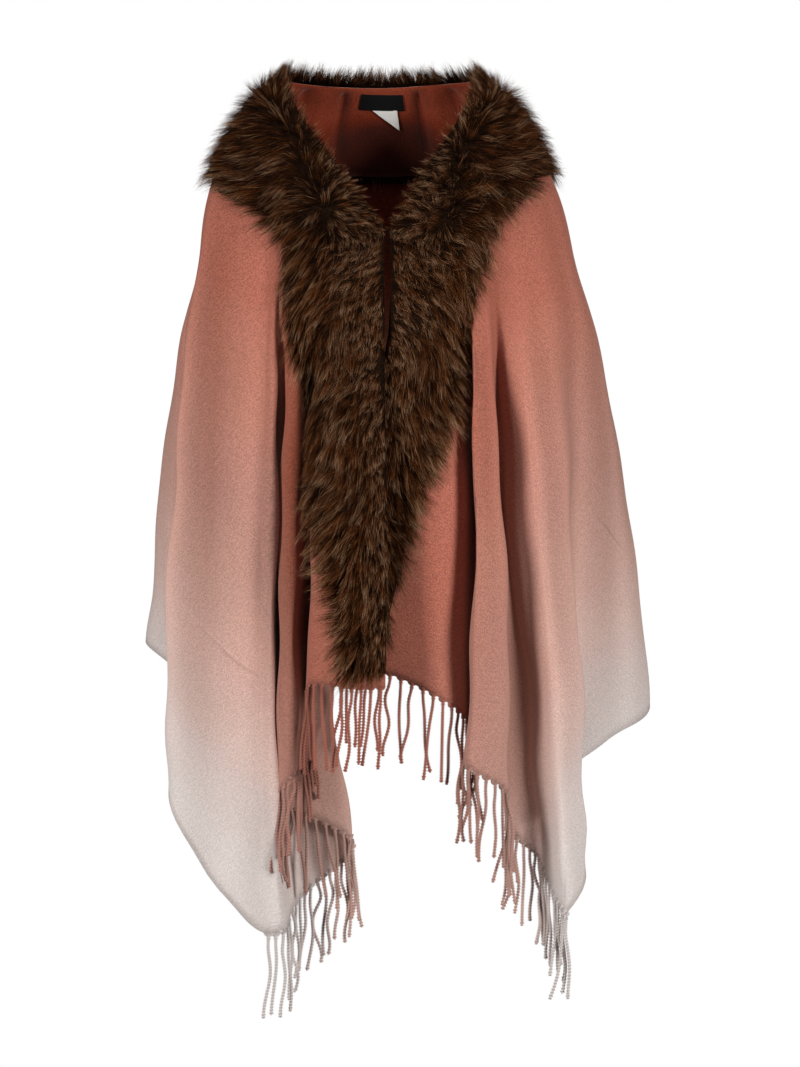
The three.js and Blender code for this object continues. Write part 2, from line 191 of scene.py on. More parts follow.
def freeEdge(across):  # where a fold line meets the flat shawl's edge
    side = np.where(across < foldAt["back"], -1, 1)
    along = edgeAt(across)
    down = np.minimum(along, shawl["width"])
    return side * (shawl["length"] / 2 + side * shawl["shift"] - (along - down)), down


def flatPlace(across, parts):
    end, down = freeEdge(across)
    return mix(neckLength(angleAt(across)), end, parts), down * parts


def onFold(across, part):
    across, part = np.broadcast_arrays(across, part)
    angle = angleAt(across)
    height = mix(neckHeight(angle), zAt(across), part)
    form = onShoulders(angle, height)
    start = onShoulders(angle, fall["height"])
    below = (fall["height"] - height) / (fall["height"] - zAt(across))
    drop = np.minimum((below + np.hypot(below, fall["soft"])) / 2, 1)
    lower = 1 - (1 - drop) ** (1 + soonAt(across))
    bulge = fall["bow"] * np.sin(np.pi * np.clip(below, 0, 1))
    x = mix(start[..., 0], xAt(across), drop) + bulge * np.sin(angle)
    y = mix(start[..., 1], yAt(across), lower) + bulge * np.cos(angle)
    turn = ease(-fall["blend"], fall["blend"], fall["height"] - height)
    return mix(form, np.stack([x, y, height], -1), turn[..., None])


def smoothCloth(across, parts):  # the middle of the cloth, evenly spaced down each fold line
    line = onFold(across[:, None], np.linspace(0, 1, 241)[None, :])
    run = lengthsAlong(line)
    points = np.empty(parts.shape + (3,))
    for i, share in enumerate(parts):
        for axis in range(3):
            points[i, :, axis] = np.interp(share * run[i, -1], run[i], line[i, :, axis])
    return points


def trimWidth(s):
    far = np.abs(s)
    widths = []
    for front in (trimFronts["right"], trimFronts["left"]):
        upper = mix(trim["backWidth"], front["width"], ease(180, 440, far))
        widths.append(mix(upper, trim["endWidth"], ease(front["taperFrom"], front["taperTo"], far)))
    return np.where(s < 0, widths[0], widths[1])


# What the cloth does beyond its main folds. Heights are outward, places are flat ones: s along
# the fur edge from the middle of the back, t down from it.
drape = {
    "columns": 420, "rows": 90,
    "columnRun": 34, "columnBend": 0.45,  # columns crowd where the hem turns
    "rowCrowd": 0.4,  # and rows towards the fur edge
    "seed": 4,
    "waves": 14, "waveHeight": 1.1, "waveLengths": (90, 300),
    "hemHeight": 2.6, "hemLength": 92, "hemReach": 110,
    # The fold that the stand of the collar makes behind the neck, sunk inwards.
    "stand": {"depth": 23, "top": 20, "bottom": 104, "under": 116, "halfWidth": 165},
    # Where gathers start and end, and how far down they would be twice as far apart.
    "gather": {"start": (2, 14), "end": (112, 70), "spread": 900},
}

# Gathers where the cloth is drawn in at the back of the neck.
gathers = [
    # s, half width, height
    (-128, 9, -6),
    (-96, 7, 9),
    (-72, 8, -5),
    (-46, 6, 11),
    (43, 6, 11),
    (64, 8, -5),
    (88, 7, 10),
    (118, 9, -6),
]

# How the cloth settles between its fold lines, as steps in mm to the side and to the back.
settled = [
    # fold line, beside it on the hem, half width, share of the fall where it starts and where it is
    # full, how much of it is left at the hem, step in x, step in y
    ("cornerR", -25, 27, 0.15, 0.5, 0.75, 6, -22),
    ("rimR", 2, 20, 0.4, 0.75, 1.0, 1, -13),
    ("valleyFL", 0, 70, 0.35, 0.8, 1.0, 0, -38),
    ("fold1L", 0, 24, 0.15, 0.4, 0.0, -5, 0),
    ("valleyFL", -12, 105, 0.12, 0.55, 0.25, -20, 0),
]


def settle(across, parts):
    step = np.zeros(parts.shape + (3,))
    for name, beside, halfWidth, start, full, atHem, dx, dy in settled:
        far = np.clip(np.abs(across[:, None] - foldAt[name] - beside) / halfWidth, 0, 1)
        share = ease(1, 0, far) * ease(start, full, parts) * mix(1, atHem, ease(full, 1, parts))
        step[..., 0] += share * dx
        step[..., 1] += share * dy
    return step


def standFold(s, t):
    stand = drape["stand"]
    inward = ease(stand["top"], stand["bottom"], t) * ease(stand["under"], stand["bottom"], t)
    return -stand["depth"] * inward * ease(stand["halfWidth"], stand["halfWidth"] * 0.6, np.abs(s))


def relief(s, t):
    random = np.random.default_rng(drape["seed"])
    height = np.zeros_like(s)
    for _ in range(drape["waves"]):
        heading, phase = random.uniform(0, np.pi), random.uniform(0, 2 * np.pi)
        run = (s * np.cos(heading) + t * np.sin(heading)) / random.uniform(*drape["waveLengths"])
        height += drape["waveHeight"] * np.sin(2 * np.pi * run + phase) * random.uniform(0.4, 1)
    hem = ease(shawl["width"] - drape["hemReach"], shawl["width"], t)
    drift = 0.9 * np.sin(s / 71) + 1.3 * np.sin(s / 193 + 1)  # so that its waves are uneven
    height += hem * drape["hemHeight"] * np.sin(2 * np.pi * s / drape["hemLength"] + drift)
    gather = drape["gather"]
    for s0, halfWidth, rise in gathers:
        lean = s0 * (1 + t / gather["spread"])
        shape = np.exp(-((s - lean) / halfWidth) ** 2)
        height += rise * shape * ease(*gather["start"], t) * ease(*gather["end"], t)
    return height + standFold(s, t)


def crowdedColumns(count):
    fine = np.linspace(0, spacing[-1], 6001)
    run = np.diff(np.stack([xAt(fine), yAt(fine)], -1), axis=0)
    heading = np.unwrap(np.arctan2(run[:, 1], run[:, 0]))
    bend = np.abs(np.diff(heading, prepend=heading[0]))
    weight = np.hypot(*run.T) / drape["columnRun"] + bend / drape["columnBend"]
    reach = np.concatenate([[0], np.cumsum(weight)])
    return np.interp(np.linspace(0, reach[-1], count + 1), reach, fine)


def slopes(values, across, parts):
    da = np.gradient(values, axis=0) / np.gradient(across)[:, None, None]
    dp = np.gradient(values, axis=1) / np.gradient(parts[0])[None, :, None]
    return da, dp


def drapeCloth():
    cloth = SimpleNamespace()
    cloth.across = crowdedColumns(drape["columns"])
    even = np.linspace(0, 1, drape["rows"] + 1)
    cloth.parts = np.tile(even * mix(1, even, drape["rowCrowd"]), (len(cloth.across), 1))
    cloth.s, cloth.t = flatPlace(cloth.across[:, None], cloth.parts)
    cloth.flat = np.stack([cloth.s, cloth.t], -1)
    smooth = smoothCloth(cloth.across, cloth.parts) + settle(cloth.across, cloth.parts)
    sideways, down = slopes(smooth, cloth.across, cloth.parts)
    out = unit(np.cross(sideways, down))
    cloth.points = smooth + out * relief(cloth.s, cloth.t)[..., None]
    sideways, down = slopes(cloth.points, cloth.across, cloth.parts)
    cloth.out = unit(np.cross(sideways, down))
    cloth.sideways, cloth.down = unit(sideways), unit(down)
    # Directions of growing s and t, from how both change along the grid.
    (sa, ta), (sp, tp) = (np.moveaxis(step, -1, 0)[..., None]
                          for step in slopes(cloth.flat, cloth.across, cloth.parts))
    turn = sa * tp - sp * ta
    turn = np.where(np.abs(turn) < 1e-6, 1e-6, turn)
    cloth.alongS = unit((sideways * tp - down * ta) / turn)
    cloth.alongT = unit((down * sa - sideways * sp) / turn)
    return cloth


cloth = drapeCloth()
print("cloth draped:", cloth.points.shape, "columns and rows")


def newObject(name, data):
    piece = bpy.data.objects.new(name, data)
    bpy.context.scene.collection.objects.link(piece)
    return piece


def makeMesh(name, points, corners, sizes, maps, material):
    mesh = bpy.data.meshes.new(name)
    mesh.vertices.add(len(points))
    mesh.vertices.foreach_set("co", (points * mm).astype(np.float32).ravel())
    mesh.loops.add(len(corners))
    mesh.loops.foreach_set("vertex_index", corners.astype(np.int32))
    mesh.polygons.add(len(sizes))
    mesh.polygons.foreach_set("loop_start", (np.cumsum(sizes) - sizes).astype(np.int32))
    mesh.update(calc_edges=True)
    for mapName, places in maps.items():  # one place for each corner
        layer = mesh.uv_layers.new(name=mapName)
        layer.uv.foreach_set("vector", places.astype(np.float32).ravel())
    mesh.shade_smooth()
    mesh.materials.append(material)
    return newObject(name, mesh)


def triangles(piece):
    return sum(len(face.vertices) - 2 for face in piece.data.polygons)


def linear(hexColour):
    parts = [int(hexColour[i:i + 2], 16) / 255 for i in (1, 3, 5)]
    return [p / 12.92 if p <= 0.04045 else ((p + 0.055) / 1.055) ** 2.4 for p in parts] + [1]


def addNode(tree, kind, inputs=None, stops=(), **settings):
    node = tree.nodes.new(kind)
    for name, value in settings.items():
        setattr(node, name, value)
    for i, (place, colour) in enumerate(stops):
        elements = node.color_ramp.elements
        if i == 0:
            elements.remove(elements[1])
            elements[0].position = place
        else:
            elements.new(place)
        elements[i].color = linear(colour) if isinstance(colour, str) else (colour, colour, colour, 1)
    for name, value in (inputs or {}).items():  # a node stands for its first output
        if isinstance(value, bpy.types.Node):
            value = value.outputs[0]
        if isinstance(value, bpy.types.NodeSocket):
            tree.links.new(value, node.inputs[name])
        else:
            node.inputs[name].default_value = value
    return node


def makeMaterial(name, mapName, look, *details):  # look gives the surface's inputs
    material = bpy.data.materials.new(name)
    material.use_nodes = True
    tree = material.node_tree
    tree.nodes.clear()
    flat = addNode(tree, "ShaderNodeUVMap", uv_map=mapName)
    shader = addNode(tree, "ShaderNodeBsdfPrincipled", {"IOR": 1.5, **look(tree, flat, *details)})
    addNode(tree, "ShaderNodeOutputMaterial", {0: shader})
    return material


# Brushed wool twill, woven and then dipped so that its dye fades across the width. Dull, with a soft nap
# whose sheen catches light at the edges of the folds, and with shade and highlight painted down its fold
# columns, in its creases and inside the collar.
wool = {
    "dye": [  # share of the width from the fur edge, colour
        (0.00, "#9A5746"),
        (0.21, "#9F5D4C"),
        (0.37, "#A46D5D"),
        (0.49, "#A7776A"),
        (0.60, "#AB8174"),
        (0.67, "#B18A7D"),
        (0.74, "#B9958A"),
        (0.83, "#C1A59B"),
        (0.91, "#C3B2AC"),
        (1.00, "#C8BDB8"),
    ],
    "dyeSpread": 0.22,  # how much sooner it fades for each metre towards the short ends
    "dyeEven": 0.62,  # metres from the middle of the back to where the stops above hold
    "dyeBlur": 0.05,
    "twill": 2.4,  # spacing of the twill lines, coarser than real so that they show
    "fibre": 1.7,
    "mottle": 12,
    "twillAngle": 52,
    "grain": (0.575, 0.975),  # the range that fibres, twill lines and mottling come to
    "deepGrain": (0.68, 1.32), "paleGrain": (0.84, 1.16),  # how dark and pale it makes the dye
    "creaseShadeAndRub": 0.82,  # the value of untouched cloth on the ramp of the pressed lines
    # Painted shade inside the collar, over all of it and deepest in the hollow behind the neck.
    "collarShade": [
        # middle, reach, how dark the painted shade makes it
        ((0, 60), (330, 330), 0.47),
        ((6, 84), (100, 62), 0.25),
    ],
}


def dyeColour(tree, flat):  # flat: s and t in metres
    place = addNode(tree, "ShaderNodeSeparateXYZ", {0: flat})
    blotch = addNode(tree, "ShaderNodeTexNoise", {
        "Vector": flat, "Scale": 7.0, "Detail": 3.0, "Roughness": 0.6})
    share = addNode(tree, "ShaderNodeMath", {
        0: place.outputs[1], 1: 1 / (shawl["width"] * mm),
        2: -wool["dyeBlur"] - wool["dyeSpread"] * wool["dyeEven"]}, operation="MULTIPLY_ADD")
    far = addNode(tree, "ShaderNodeMath", {0: place}, operation="ABSOLUTE")
    for part, weight in ((far, wool["dyeSpread"]), (blotch, 2 * wool["dyeBlur"])):
        share = addNode(tree, "ShaderNodeMath", {0: part, 1: weight, 2: share}, operation="MULTIPLY_ADD")
    return addNode(tree, "ShaderNodeValToRGB", {0: share}, stops=wool["dye"])


# Sharp creases that the iron left, too narrow for the mesh, drawn as bump, and painted darker in their
# middles as shade with a paler painted highlight beside them. A strength below nought is a rubbed line, which
# is paler.
pressed = [
    # s, t at one end, s, t at the other, half width, strength
    (-552, 388, -521, 288, 4.5, 0.5),
    (-484, 306, -548, 312, 4.5, 0.45),
    (-645, 497, -822, 482, 4.2, 0.9),
    (-800, 575, -809, 490, 5, 0.4),
    (478, 222, 640, 366, 5, -0.7),
    (596, 326, 800, 522, 5, -0.75),
    (503, 366, 501, 452, 4, 0.6),
    (508, 390, 511, 490, 4.5, 0.55),
    (538, 434, 514, 548, 4.5, 1),
    (-214, 352, -150, 466, 4.5, 0.7),
    (-96, 240, -60, 352, 5, -0.6),
    (132, 300, 70, 424, 4.5, 0.8),
    (212, 430, 300, 486, 4.5, 0.6),
    (-330, 470, -262, 540, 4.5, 0.7),
    (20, 500, 96, 590, 5, 0.5),
    (-704, 330, -668, 226, 4.5, 0.5),
]


def pressedLines(tree, flat):  # a half where there is none, more in a crease, less on a rubbed line
    total = 0.5
    for s0, t0, s1, t1, halfWidth, strength in pressed:
        local = addNode(tree, "ShaderNodeMapping", {
            "Vector": flat, "Location": ((s0 + s1) / 2 * mm, (t0 + t1) / 2 * mm, 0),
            "Rotation": (0, 0, math.atan2(t1 - t0, s1 - s0)),
            "Scale": (math.hypot(s1 - s0, t1 - t0) / 2 * mm, halfWidth * mm, 1)}, vector_type="TEXTURE")
        line = addNode(tree, "ShaderNodeTexGradient", {0: local}, gradient_type="SPHERICAL")
        total = addNode(tree, "ShaderNodeMath", {0: line.outputs[1], 1: strength / 2, 2: total},
                        operation="MULTIPLY_ADD")
    return total


# Painted shade inside the collar: darker over all of its inner face, and most of all in its hollow behind the
# neck.
def paintedCollarShade(tree, flat):  # the cloth is darker inside the collar, most of all in its hollow
    inside = addNode(tree, "ShaderNodeAttribute", attribute_name="inside").outputs["Fac"]
    shades = []
    for place, reach, shade in wool["collarShade"]:
        local = addNode(tree, "ShaderNodeMapping", {
            "Vector": flat, "Location": (place[0] * mm, place[1] * mm, 0),
            "Scale": (reach[0] * mm, reach[1] * mm, 1)}, vector_type="TEXTURE")
        near = addNode(tree, "ShaderNodeTexGradient", {0: local}, gradient_type="SPHERICAL")
        shades.append(addNode(tree, "ShaderNodeMapRange", {
            0: near.outputs[1], 1: 0.0, 2: 0.55, 3: 1.0, 4: shade}, interpolation_type="SMOOTHSTEP"))
    both = addNode(tree, "ShaderNodeMath", dict(enumerate(shades)), operation="MULTIPLY")
    return addNode(tree, "ShaderNodeMapRange", {0: inside, 3: 1.0, 4: both})


def woolLook(tree, flat):
    dye, lines, collarShade = dyeColour(tree, flat), pressedLines(tree, flat), paintedCollarShade(tree, flat)
    turned = addNode(tree, "ShaderNodeMapping", {
        "Vector": flat, "Rotation": (0, 0, math.radians(wool["twillAngle"])), "Scale": (1, 0.4, 1)})
    grain = 0.0
    for place, size, detail, roughness, weight in (
            (flat, wool["fibre"], 1, 0.5, 1), (turned, wool["twill"], 1, 0.5, 0.4),
            (flat, wool["mottle"], 3, 0.6, 0.15)):
        noise = addNode(tree, "ShaderNodeTexNoise", {
            "Vector": place, "Scale": 1000 / size, "Detail": detail, "Roughness": roughness})
        grain = addNode(tree, "ShaderNodeMath", {0: noise, 1: weight, 2: grain}, operation="MULTIPLY_ADD")
    # The grain shows most where the dye is deep.
    down = addNode(tree, "ShaderNodeSeparateXYZ", {0: flat}).outputs[1]
    least, most = (addNode(tree, "ShaderNodeMapRange", {0: down, 1: 0.1, 2: 0.6, 3: deep, 4: pale})
                   for deep, pale in zip(wool["deepGrain"], wool["paleGrain"]))
    value = addNode(tree, "ShaderNodeMapRange", {
        0: grain, 1: wool["grain"][0], 2: wool["grain"][1], 3: least, 4: most})
    # Painted shade darkens the cloth along strong creases, with a paler painted highlight beside them; rubbed
    # lines come out paler.
    creaseShadeAndRub = addNode(tree, "ShaderNodeValToRGB", {0: lines}, stops=[
        (0, 0.90), (0.5, wool["creaseShadeAndRub"]), (0.6, 0.86), (0.75, 0.77), (1, 0.64)])
    creaseShadeAndRub = addNode(tree, "ShaderNodeMath", {0: creaseShadeAndRub, 1: 1 / wool["creaseShadeAndRub"]}, operation="MULTIPLY")
    # Painted shade and highlight down the fold columns.
    foldShaded = addNode(tree, "ShaderNodeAttribute", attribute_name="foldShading").outputs["Fac"]
    for factor in (creaseShadeAndRub, collarShade, foldShaded):
        value = addNode(tree, "ShaderNodeMath", {0: value, 1: factor}, operation="MULTIPLY")
    # Where painted shade makes it dark it is richer in colour too, and inside the collar's painted shade
    # redder.
    shadeSaturation = addNode(tree, "ShaderNodeMapRange", {0: collarShade, 1: 0.3, 2: 1.0, 3: 1.24, 4: 1.0})
    foldShadeSaturation = addNode(tree, "ShaderNodeMapRange", {0: foldShaded, 1: 0.2, 2: 1.0, 3: 1.25, 4: 1.0})
    shadeSaturation = addNode(tree, "ShaderNodeMath", {0: shadeSaturation, 1: foldShadeSaturation}, operation="MULTIPLY")
    collarShadeHue = addNode(tree, "ShaderNodeMapRange", {0: collarShade, 1: 0.3, 2: 0.8, 3: 0.494, 4: 0.5})
    colour = addNode(tree, "ShaderNodeHueSaturation", {
        "Hue": collarShadeHue, "Saturation": shadeSaturation, "Value": value, "Color": dye})
    creased = addNode(tree, "ShaderNodeBump", {"Strength": 1.0, "Distance": 0.0016, "Height": lines},
                      invert=True)
    bump = addNode(tree, "ShaderNodeBump", {
        "Strength": 0.3, "Distance": 0.0008, "Height": grain, "Normal": creased})
    return {"Base Color": colour, "Roughness": 0.92, "Specular IOR Level": 0.2, "Sheen Weight": 0.2,
            "Sheen Roughness": 0.5, "Sheen Tint": linear("#F0D8CC"), "Normal": bump}


def gridIndex(columns, rows):
    return (index.ravel() for index in np.meshgrid(np.arange(columns), np.arange(rows), indexing="ij"))


def gridFaces(columns, rows):
    i, j = gridIndex(columns - 1, rows - 1)
    at = i * rows + j
    return np.stack([at, at + 1, at + 1 + rows, at + rows], -1)


def closedShell(outer, inner):  # points and faces of a wall between two grids
    columns, rows = outer.shape[:2]
    front = gridFaces(columns, rows)
    back = front[:, ::-1] + columns * rows
    index = np.arange(columns * rows).reshape(columns, rows)
    ring = np.concatenate([index[:, 0], index[-1, 1:], index[-2::-1, -1], index[0, -2:0:-1]])
    after = np.roll(ring, -1)
    rim = np.stack([ring, after, after + columns * rows, ring + columns * rows], -1)
    return np.concatenate([outer, inner]).reshape(-1, 3), np.concatenate([front, back, rim])


def shellPiece(name, outer, inner, flat, material):  # a wall with its flat places in mm
    points, faces = closedShell(outer, inner)
    corners = faces.ravel()
    flat = np.tile(flat.reshape(-1, 2), (2, 1)) * mm
    return makeMesh(name, points, corners, np.full(len(faces), 4), {"flat": flat[corners]}, material)


# Painted shade in the deep folds and gaps and painted highlight on the edges of folds, laid down each soft
# column of the cloth, with faint random waves of tone everywhere.
foldShading = {"reach": 0.32, "waves": 9, "waveLengths": (38, 120), "waveShade": 0.014, "darkest": 0.18}
foldShadingBands = [
    # fold line it follows, beside it on the hem, half width, share of the fall at its middle, painted shade
    # below nought or painted highlight above it
    ("panelR", -4, 20, 0.55, 0.42),
    ("cornerR", 18, 22, 1.0, -0.16),
    ("sweepR", -2, 14, 0.5, -0.14),
    ("cornerR", 22, 15, 0.5, 0.13),
    ("ridgeL", 5, 24, 0.55, 0.25),
    ("cornerL", 6, 16, 0.5, 0.18),
    ("panelL", 2, 22, 0.55, 0.25),
    ("tuckL", -20, 16, 0.55, 0.12),
    ("tuckR", 30, 30, 0.8, 0.35),
    ("turn2R", 4, 40, 0.6, -0.75),
    ("backR", 10, 30, 0.6, -0.5),
    ("valleyFL", 0, 38, 0.65, -0.28),
    ("lapL", 6, 20, 0.95, -0.2),
    ("sideL", 0, 20, 0.75, -0.1),
]


# Painted shade and highlight for each point of the cloth, from the bands above and faint random waves.
def paintFoldShading():
    across, part = cloth.across[:, None], cloth.parts
    shade = np.ones_like(part)
    for name, beside, halfWidth, middle, amount in foldShadingBands:
        band = np.exp(-((across - foldAt[name] - beside) / halfWidth) ** 2)
        shade += amount * band * np.exp(-((part - middle) / foldShading["reach"]) ** 2)
    random = np.random.default_rng(drape["seed"])
    for _ in range(foldShading["waves"]):  # faint ones everywhere
        run, phase, slant = random.uniform(*foldShading["waveLengths"]), random.uniform(0, 6.3), random.uniform(-2, 2)
        wave = np.sin(2 * np.pi * across / run + phase + slant * part)
        shade += foldShading["waveShade"] * wave * ease(0.1, 0.4, part)
    return np.maximum(shade, foldShading["darkest"])


def clothPiece(material):
    columns, rows = cloth.s.shape
    half = shawl["thick"] / 2
    points, faces = closedShell(cloth.points + cloth.out * half, cloth.points - cloth.out * half)
    corners = faces.ravel()
    flat = np.tile(cloth.flat.reshape(-1, 2), (2, 1)) * mm
    # The baked map holds both faces, one over the other, with the rim just outside the first.
    share = flat / (mm * np.array([shawl["length"], 2 * shawl["width"]]))
    share = share * [0.98, 0.97] + [0.5, 0.008]
    share[columns * rows:, 1] += 0.5
    baked = share[corners]
    rimCorners = slice(8 * (columns - 1) * (rows - 1), None)
    baked[rimCorners] = share[corners[rimCorners] % (columns * rows)]
    piece = makeMesh("shawl_cloth", points, corners, np.full(len(faces), 4),
                     {"flat": flat[corners], "OFBake": baked}, material)
    # The inner face carries the collar's painted shade, and both faces the painted fold shade and highlight.
    values = {"inside": np.repeat([0.0, 1.0], columns * rows), "foldShading": np.tile(paintFoldShading().ravel(), 2)}
    for name, value in values.items():
        piece.data.attributes.new(name, "FLOAT", "POINT").data.foreach_set("value", value.astype(np.float32))
    return piece


shawlPiece = clothPiece(makeMaterial("brushedWoolTwill", "flat", woolLook))
print("cloth made:", triangles(shawlPiece), "triangles")

# Long-haired imitation fur: short dense under hair with longer, finer guard hair over it, near
# black at the root, chestnut along its length, and some of it pale at the tips.
fur = {
    "coats": [
        # hairs, points along one after the root, shortest, longest, width
        (124000, 2, 20, 34, 0.42),
        (54000, 3, 32, 47, 0.3),
    ],
    "tones": {  # where each kind of hair starts on the scale of tints, and how wide it is there
        "dark": (0.01, 0.38),
        "chestnut": (0.41, 0.28),
        "pale": (0.71, 0.28),
    },
    "clumpArea": 24,  # square millimetres of cloth to a lock of hair
    "gather": (0.1, 0.62),  # how far hairs draw towards their lock
    "lift": (22, 44),  # degrees off the cloth at the root
    "turn": [  # how far the hair turns towards the short ends, by distance from the middle
        (0, 0), (100, -0.25), (220, -0.5), (310, -0.2), (400, 0.3), (520, 0.8), (1000, 1.1),
    ],
    "behind": (230, 130),  # between these distances it starts to stand up behind the neck
    "strip": (440, 600),  # and between these it becomes a strip down the opening
    "sway": 17,  # degrees a lock turns aside
    "tousled": 1.8,  # how much more it does so on the left shoulder
    "rim": (4, 34),  # where the hair turns over from the neck edge to the outside
    "rimBehind": (16, 56),  # the same at the back of the neck, where it stands up
    "rimLength": 0.45,  # how long hairs are there for the rest
    "crowdBehind": 2.6,  # how many more hairs there
    "droop": 0.22,
    "ground": 5, "groundRows": 9, "groundWrap": 2.4,
    "tints": 96,
    "seed": 11,
}


def furLook(tree, place):
    place = addNode(tree, "ShaderNodeSeparateXYZ", {0: place})
    tint, along = place.outputs[:2]
    kinds = [
        [(0, "#020100"), (0.45, "#0F0704"), (0.8, "#24130A"), (1, "#352012")],  # dark hair
        [(0, "#030100"), (0.4, "#1C0D05"), (0.75, "#5A2F14"), (1, "#8C5A34")],  # chestnut
        [(0, "#030100"), (0.35, "#1F1008"), (0.6, "#5C3A21"), (0.82, "#A37C5C"), (1, "#CFB296")],  # pale tips
    ]
    colour, *others = (addNode(tree, "ShaderNodeValToRGB", {0: along}, stops=stops) for stops in kinds)
    for tone, other in zip(("chestnut", "pale"), others):
        start = fur["tones"][tone][0] - 0.01
        chosen = addNode(tree, "ShaderNodeMath", {0: tint, 1: start}, operation="GREATER_THAN")
        colour = addNode(tree, "ShaderNodeMix", {0: chosen, 6: colour, 7: other}, data_type="RGBA").outputs[2]
    shade = addNode(tree, "ShaderNodeTexNoise", {"W": tint, "Scale": 60.0, "Detail": 0.0},
                    noise_dimensions="1D")
    value = addNode(tree, "ShaderNodeMapRange", {0: shade, 1: 0.3, 2: 0.7, 3: 0.7, 4: 1.35})
    colour = addNode(tree, "ShaderNodeHueSaturation", {"Value": value, "Color": colour})
    return {"Base Color": colour, "Roughness": 0.5, "IOR": 1.4, "Specular IOR Level": 0.06,
            "Specular Tint": linear("#D2915C")}


# The knitted ground and the thick of the under hair, dark partly as their own colour and partly as painted
# shade for the depth between the locks.
def furGroundLook(tree, flat):
    tuft = addNode(tree, "ShaderNodeTexNoise", {"Vector": flat, "Scale": 420.0, "Detail": 3.0})
    tone = addNode(tree, "ShaderNodeValToRGB", {0: tuft}, stops=[
        (0.3, "#050302"), (0.5, "#150B05"), (0.75, "#2E1A0D")])
    bump = addNode(tree, "ShaderNodeBump", {"Strength": 0.6, "Distance": 0.0012, "Height": tuft})
    return {"Base Color": tone, "Roughness": 1.0, "Specular IOR Level": 0.05, "Normal": bump}


def underTrim(s, t, parts):
    return (t < trimWidth(s)) & (parts < trim["stop"])


def onGrid(values, i, j, u, v):  # values of the cloth's grid inside cell i, j
    return ((values[i, j] * (1 - u) * (1 - v) + values[i + 1, j] * u * (1 - v))
            + (values[i, j + 1] * (1 - u) * v + values[i + 1, j + 1] * u * v))


def rootsOnTrim(count, random):
    s, t = cloth.s, cloth.t
    across, down = np.diff(cloth.points[:, :-1], axis=0), np.diff(cloth.points[:-1], axis=1)
    area = np.linalg.norm(np.cross(across, down), axis=-1)
    under = underTrim(s, t, cloth.parts)[:-1, :-1]
    dense = 1 + fur["crowdBehind"] * ease(70, 30, t[:-1, :-1]) * ease(230, 150, np.abs(s[:-1, :-1]))
    chance = np.where(under, area * dense, 0).ravel()
    cells = random.choice(chance.size, int(count * 1.08), p=chance / chance.sum())
    i, j = np.unravel_index(cells, area.shape)
    u, v = random.random((2, len(cells), 1))
    found = {name: onGrid(np.atleast_3d(getattr(cloth, name)), i, j, u, v)
             for name in ("points", "out", "alongS", "alongT", "s", "t", "parts")}
    keep = underTrim(found["s"], found["t"], found["parts"]).ravel()
    found.update(across=i, width=trimWidth(found["s"]))
    return {name: value[keep][:count] for name, value in found.items()}, area[under].sum()


turnAt = curveThrough(*zip(*fur["turn"]), True)


def combed(root, random, count):  # which way each hair sets out, which way it ends, and its size
    s, t = root["s"], root["t"]
    far, side = np.abs(s), np.where(s < 0, -1, 1)
    behind, strip = ease(*fur["behind"], far), ease(*fur["strip"], far)
    rimStart, rimEnd = (mix(fur["rim"][k], fur["rimBehind"][k], behind) for k in (0, 1))
    over = mix(ease(rimStart, rimEnd, t), 1, 0.92 * ease(390, 480, far))  # below the neck it only falls
    wander = 0.2 * np.sin(s / 23 + np.sin(t / 17)) + 0.16 * np.sin(t / 13 + s / 61 + 2)
    loose = mix(1, fur["tousled"], ease(170, 240, s) * ease(520, 430, s))
    steeper = mix(1, 1.3 - 0.75 * t / root["width"], strip)
    wander = wander + np.radians(fur["sway"]) * random.normal(0, 1, (count, 1))
    turn = turnAt(far) * steeper + wander * loose
    lay = root["alongT"] * np.cos(turn) * (2 * over - 1) + root["alongS"] * side * np.sin(turn)
    lift = np.radians(random.uniform(*fur["lift"], (count, 1)))
    standing = (1 - np.abs(2 * over - 1)) * (1 - 0.5 * strip)
    start = unit(unit(lay) * np.cos(lift) + root["out"] * (np.sin(lift) + standing))
    droop = fur["droop"] * mix(over, 1.6, strip) * np.array([0, 0, -1.0])
    end = unit(unit(lay) + root["out"] * (0.14 + 0.5 * standing) + droop)
    size = mix(mix(fur["rimLength"], 0.8, behind), 1, ease(0, rimEnd, t))
    return start, end, size


def hairPaths(root, start, end, length, steps):
    path = [root["points"] + root["out"] * 1.0]
    hollow = -standFold(root["s"], root["t"]) / steps  # hair bridges the fold behind the neck
    for k in range(steps):
        share = (k + 0.5) / steps
        path.append(path[-1] + unit(mix(start, end, share ** 0.8)) * length / steps + root["out"] * hollow)
    return np.stack(path, 1)


def furLocks(random):
    _, area = rootsOnTrim(1000, random)
    locks, _ = rootsOnTrim(int(area / fur["clumpArea"]), random)
    count = len(locks["s"])
    near = KDTree(count)
    for k, (s, t) in enumerate(zip(locks["s"].ravel(), locks["t"].ravel())):
        near.insert((s, t, 0), k)
    near.balance()
    start, end, size = combed(locks, random, count)
    tone = random.random(count)
    return locks, near, start, end, size, tone


